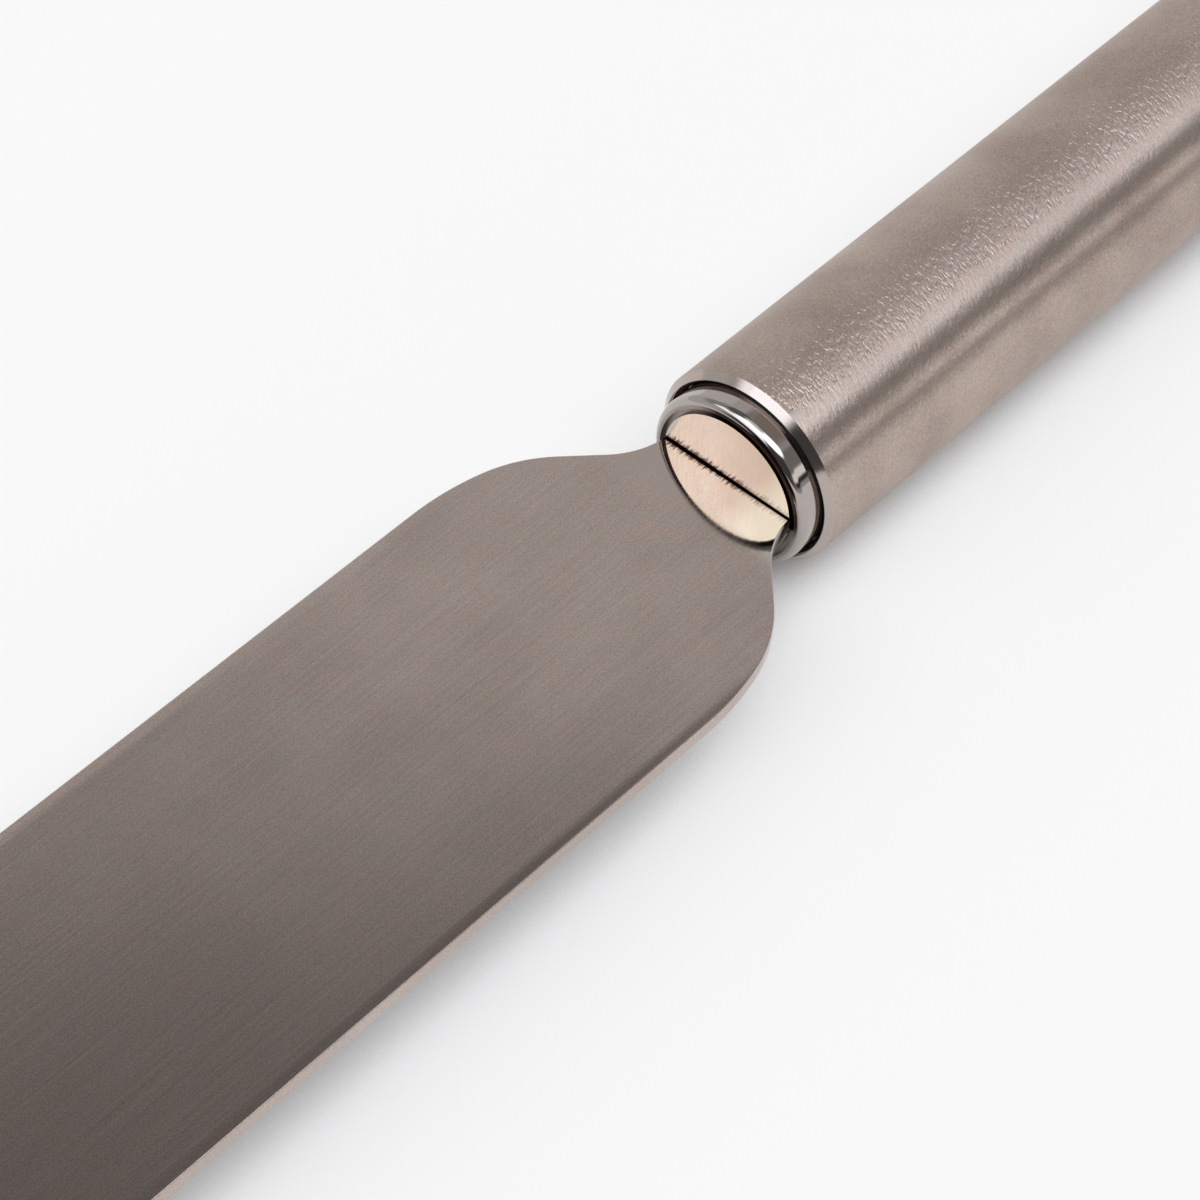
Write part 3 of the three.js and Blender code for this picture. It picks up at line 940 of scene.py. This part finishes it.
def dress(piece, node, main, others=()):
    """Gives a piece its main finish and others by (finish, wanted), puts it on the root body and hides the CAD
    node it stands for.
    """
    bpy.ops.object.select_all(action="DESELECT")
    piece.select_set(True)
    bpy.context.view_layer.objects.active = piece
    piece.data.materials.append(main)
    for finish, wanted in others:
        piece.data.materials.append(finish)
        bpy.ops.object.mode_set(mode="EDIT")
        pick_faces(piece, wanted)
        piece.active_material_index = len(piece.data.materials) - 1
        bpy.ops.object.material_slot_assign()
        bpy.ops.object.mode_set(mode="OBJECT")
    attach(piece, "root")
    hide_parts(node)
    print(f"{piece.name} stands for {node} with {[m.name for m in piece.data.materials]}")


def is_tube_end(centre, normal):
    """True on the bevels, lands and chamfers at the tube's ends."""
    return abs(normal.x) > END_SLOPE


def is_end_face(centre, normal):
    """True on the flat end face of either plug."""
    return min(abs(centre.x - FACE_X), abs(centre.x - cap_low.x)) < TOUCH


def is_face_groove(centre, normal):
    """True in the groove round either plug's face and on the first of its rim."""
    from_axis = math.hypot(centre.y, centre.z - AXIS_HEIGHT)
    # The groove's painted shade reaches this far onto the rim.
    shaded_width = FACE_GROOVE_WIDTH + RIM_RADIUS * math.sin(SHADED_RIM_ANGLE)
    in_width = face_radius - TOUCH < from_axis < face_radius + shaded_width
    from_middle = abs(centre.x - (FACE_X + cap_low.x) / 2)
    below_face = (FACE_X - cap_low.x) / 2 - from_middle
    on_face = below_face < TOUCH and from_axis < face_radius
    return in_width and not on_face and below_face < FACE_GROOVE_DEPTH + TOUCH


def is_slot(centre, normal):
    """True on the walls of the collar's slot."""
    in_height = abs(centre.z - AXIS_HEIGHT) < slot_height / 2 + TOUCH
    in_width = abs(centre.y) < NECK_WIDTH / 2 + SLOT_SIDE_CLEARANCE + TOUCH
    return in_height and in_width and centre.x < FACE_X - TOUCH


dress(tube, "handle_tube", tube_steel, [(bright_bevel, is_tube_end)])
groove_shade_finish = (groove_shade_steel, is_face_groove)
collar_finishes = [(satin_face, is_end_face), groove_shade_finish, (slot_dirt_and_shade_steel, is_slot)]
dress(collar, "front_collar", polished_rim, collar_finishes)
dress(rear_cap, "rear_cap", polished_rim, [(rear_face, is_end_face), groove_shade_finish])
dress(front_seal, "front_ring", ring_rubber)
dress(rear_seal, "rear_ring", ring_rubber)
dress(blade, "blade", blade_steel)
for node in ("tang_pin_front", "tang_pin_rear"):
    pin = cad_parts[node]
    pin.data.materials.clear()
    pin.data.materials.append(pin_steel)

# %% [markdown]
# ## Floor
#
# The tool lies on a plain white sheet. Its shader is diffuse, so it keeps the soft shadow, with a
# glow that only the camera and reflections see, so that the sheet looks near white without more light
# on the tool. Ambient occlusion takes most of the glow away close under the tool, where the sheet sees
# little of the room.

# %% Lay the floor
FLOOR_SIZE = 12
FLOOR_COLOUR = (0.438, 0.4, 0.351, 1)
FLOOR_GLOW = (0.505, 0.53, 0.56, 1)
SHADE_REACH = 30 * MM
DEEP_SHADE = 0.22
OPEN_ENOUGH = 0.52
GLOW_IN_SHADE = 0.25

bpy.ops.object.select_all(action="DESELECT")
bpy.ops.mesh.primitive_plane_add(size=FLOOR_SIZE, location=(0, 0, 0))
floor = bpy.context.object
floor.name = "floor_sheet"
floor_white, floor_tree, floor_shader = new_finish("white_sheet")
floor_shader.inputs["Base Color"].default_value = FLOOR_COLOUR
floor_shader.inputs["Roughness"].default_value = 0.9
floor_shader.inputs["Specular IOR Level"].default_value = 0
floor_shader.inputs["Emission Color"].default_value = FLOOR_GLOW
looks = add_node(floor_tree, "ShaderNodeLightPath", "who looks").outputs
seen = add_math(floor_tree, "MAXIMUM", "camera or reflection", looks["Is Camera Ray"], looks["Is Glossy Ray"])
seen = add_math(floor_tree, "MAXIMUM", "or through glass", seen, looks["Is Transmission Ray"])
reach = {"Distance": SHADE_REACH}
open_sky = add_node(floor_tree, "ShaderNodeAmbientOcclusion", "open sky", reach, samples=8).outputs["AO"]
glow = add_range(floor_tree, "glow", open_sky, DEEP_SHADE, OPEN_ENOUGH, GLOW_IN_SHADE, 1, smooth=True)
seen_glow = add_math(floor_tree, "MULTIPLY", "glow that is seen", seen, glow)
floor_tree.links.new(seen_glow, floor_shader.inputs["Emission Strength"])
floor.data.materials.append(floor_white)
print("floor laid")

# %% [markdown]
# ## Studio light
#
# Metal shows the room around it, so the room is what is lit here. The world is a plain grey studio
# built from patches of brightness by direction: a large soft light above the camera, a window to its
# left, a pale wall behind the handle, and darker parts where the camera and the room's corners are.
# Lamps could do this too, but a brushed tube would show only the lamps and nothing between them.

# %% Read the direction of each ray
world = bpy.data.worlds.new("studio")
bpy.context.scene.world = world
world.use_nodes = True
studio = world.node_tree
studio.nodes.clear()
look = add_node(studio, "ShaderNodeTexCoord", "direction").outputs["Generated"]
parts = add_node(studio, "ShaderNodeSeparateXYZ", "its parts", {"Vector": look}).outputs
elevation = add_math(studio, "ARCSINE", "elevation", parts["Z"])
along_handle = add_math(studio, "ARCSINE", "along the handle", parts["X"])
about_handle = add_math(studio, "ARCTAN2", "about the handle", parts["Z"], parts["Y"])
print(f"directions read by {len(studio.nodes)} nodes")

# %% [markdown]
# A patch is a window in two angles with soft edges, laid over what is there already. Most are told as
# a lighting sketch would tell them: how bright, how warm, the direction of the middle and half the
# width round the room, the lower and upper edge above the horizon, and how soft the sides and the
# edges are. A brushed tube smears what it shows along its length, so the strips that cross it as clear
# bands run along with the handle instead, between two angles about its axis.

# %% Patches and strips
STRIP_REACH = (-80, 20, 20)
GREY = (1, 1, 1)
WARM = (1.14, 0.98, 0.94)
COOL = (0.95, 1, 1.09)


def soft_window(title, source, low, high, soft):
    """A mask that is 1 while source is between low and high, with soft edges. Angles are in degrees."""
    low_edge = (math.radians(low - soft / 2), math.radians(low + soft / 2))
    high_edge = (math.radians(high - soft / 2), math.radians(high + soft / 2))
    opens = add_range(studio, title, source, *low_edge, 0, 1, smooth=True)
    closes = add_range(studio, title, source, *high_edge, 1, 0, smooth=True)
    return add_math(studio, "MULTIPLY", title, opens, closes)


def lay_over(below, title, level, tint, across, upright):
    """Lays a level with a tint over what is below it, where both masks are open."""
    mask = add_math(studio, "MULTIPLY", title, across, upright)
    return add_mix(studio, title, mask, below, (*(level * part for part in tint), 1))


def lay_patch(below, title, level, tint, middle, half_width, low, high, soft_side, soft_height):
    """Lays a patch by its direction round the room and its height above the horizon."""
    shares = []
    for turned in (middle + 90, middle):
        towards = {0: look, 1: direction(math.radians(turned), 0)}
        share = add_node(studio, "ShaderNodeVectorMath", title, towards, operation="DOT_PRODUCT")
        shares.append(share.outputs["Value"])
    off_middle = add_math(studio, "ARCTAN2", title, *shares)
    across = soft_window(title, off_middle, -half_width, half_width, soft_side)
    upright = soft_window(title, elevation, low, high, soft_height)
    return lay_over(below, title, level, tint, across, upright)


def lay_strip(below, title, level, tint, low, high, soft):
    """Lays a strip that runs along with the handle, between two angles about its axis from +Y up."""
    across = soft_window(title, along_handle, *STRIP_REACH)
    upright = soft_window(title, about_handle, low, high, soft)
    return lay_over(below, title, level, tint, across, upright)


# %% [markdown]
# The walls and the strips are laid first, and what the tool mirrors most clearly comes last: the dark
# front, the lights and the dark place where the camera stands.

# %% Light the room
WORLD_FILL = 0.48
fill = add_node(studio, "ShaderNodeRGB", "grey room")
fill.outputs["Color"].default_value = (WORLD_FILL, WORLD_FILL, WORLD_FILL, 1)
room = fill.outputs["Color"]
for patch in (
    ("pale back wall", 0.77, GREY, 205, 62, -5, 40, 30, 8),
    ("top of the back wall", 0.63, GREY, 205, 50, 40, 57, 30, 6),
    ("left wall", 0.7, GREY, 290, 40, -5, 22, 20, 8),
    ("dim left corner", 0.4, GREY, 280, 22, 24, 70, 16, 10),
    ("dim back ceiling", 0.18, GREY, 262, 62, 52.3, 100, 16, 6),
    ("dim behind the handle", 0.3, WARM, 170, 30, 43, 76, 16, 6),
    ("overhead", 1.0, GREY, 0, 180, 76, 100, 0.1, 8),
):
    room = lay_patch(room, *patch)
for strip in (
    ("dark upper strip", 0.28, GREY, 25, 49, 6),
    ("light strip", 1.3, GREY, 13, 23.5, 4),
    ("dark lower strip", 0.05, GREY, 6, 12.5, 4),
):
    room = lay_strip(room, *strip)
for patch in (
    ("dark front", 0.09, GREY, 15, 47, -8, 24, 24, 8),
    ("soft light above the camera", 2.75, COOL, 45, 89, 45, 77, 16, 6),
    ("left window", 2.3, COOL, 351, 27, 29, 50, 8, 6),
    ("left pane of the window", 2.0, COOL, 312, 14, 28, 44, 6, 5),
    ("dark camera", 0.08, GREY, 44, 30, 18, 45, 12, 8),
):
    room = lay_patch(room, *patch)

background = add_node(studio, "ShaderNodeBackground", "studio light", {"Color": room, "Strength": 1})
add_node(studio, "ShaderNodeOutputWorld", "world", {"Surface": background.outputs["Background"]})
print(f"studio: {len(studio.nodes)} nodes")

# %% [markdown]
# ## View transform
#
# The view transform is set to Standard so that colours render about as written.

# %% Set the view transform
bpy.context.scene.view_settings.view_transform = "Standard"
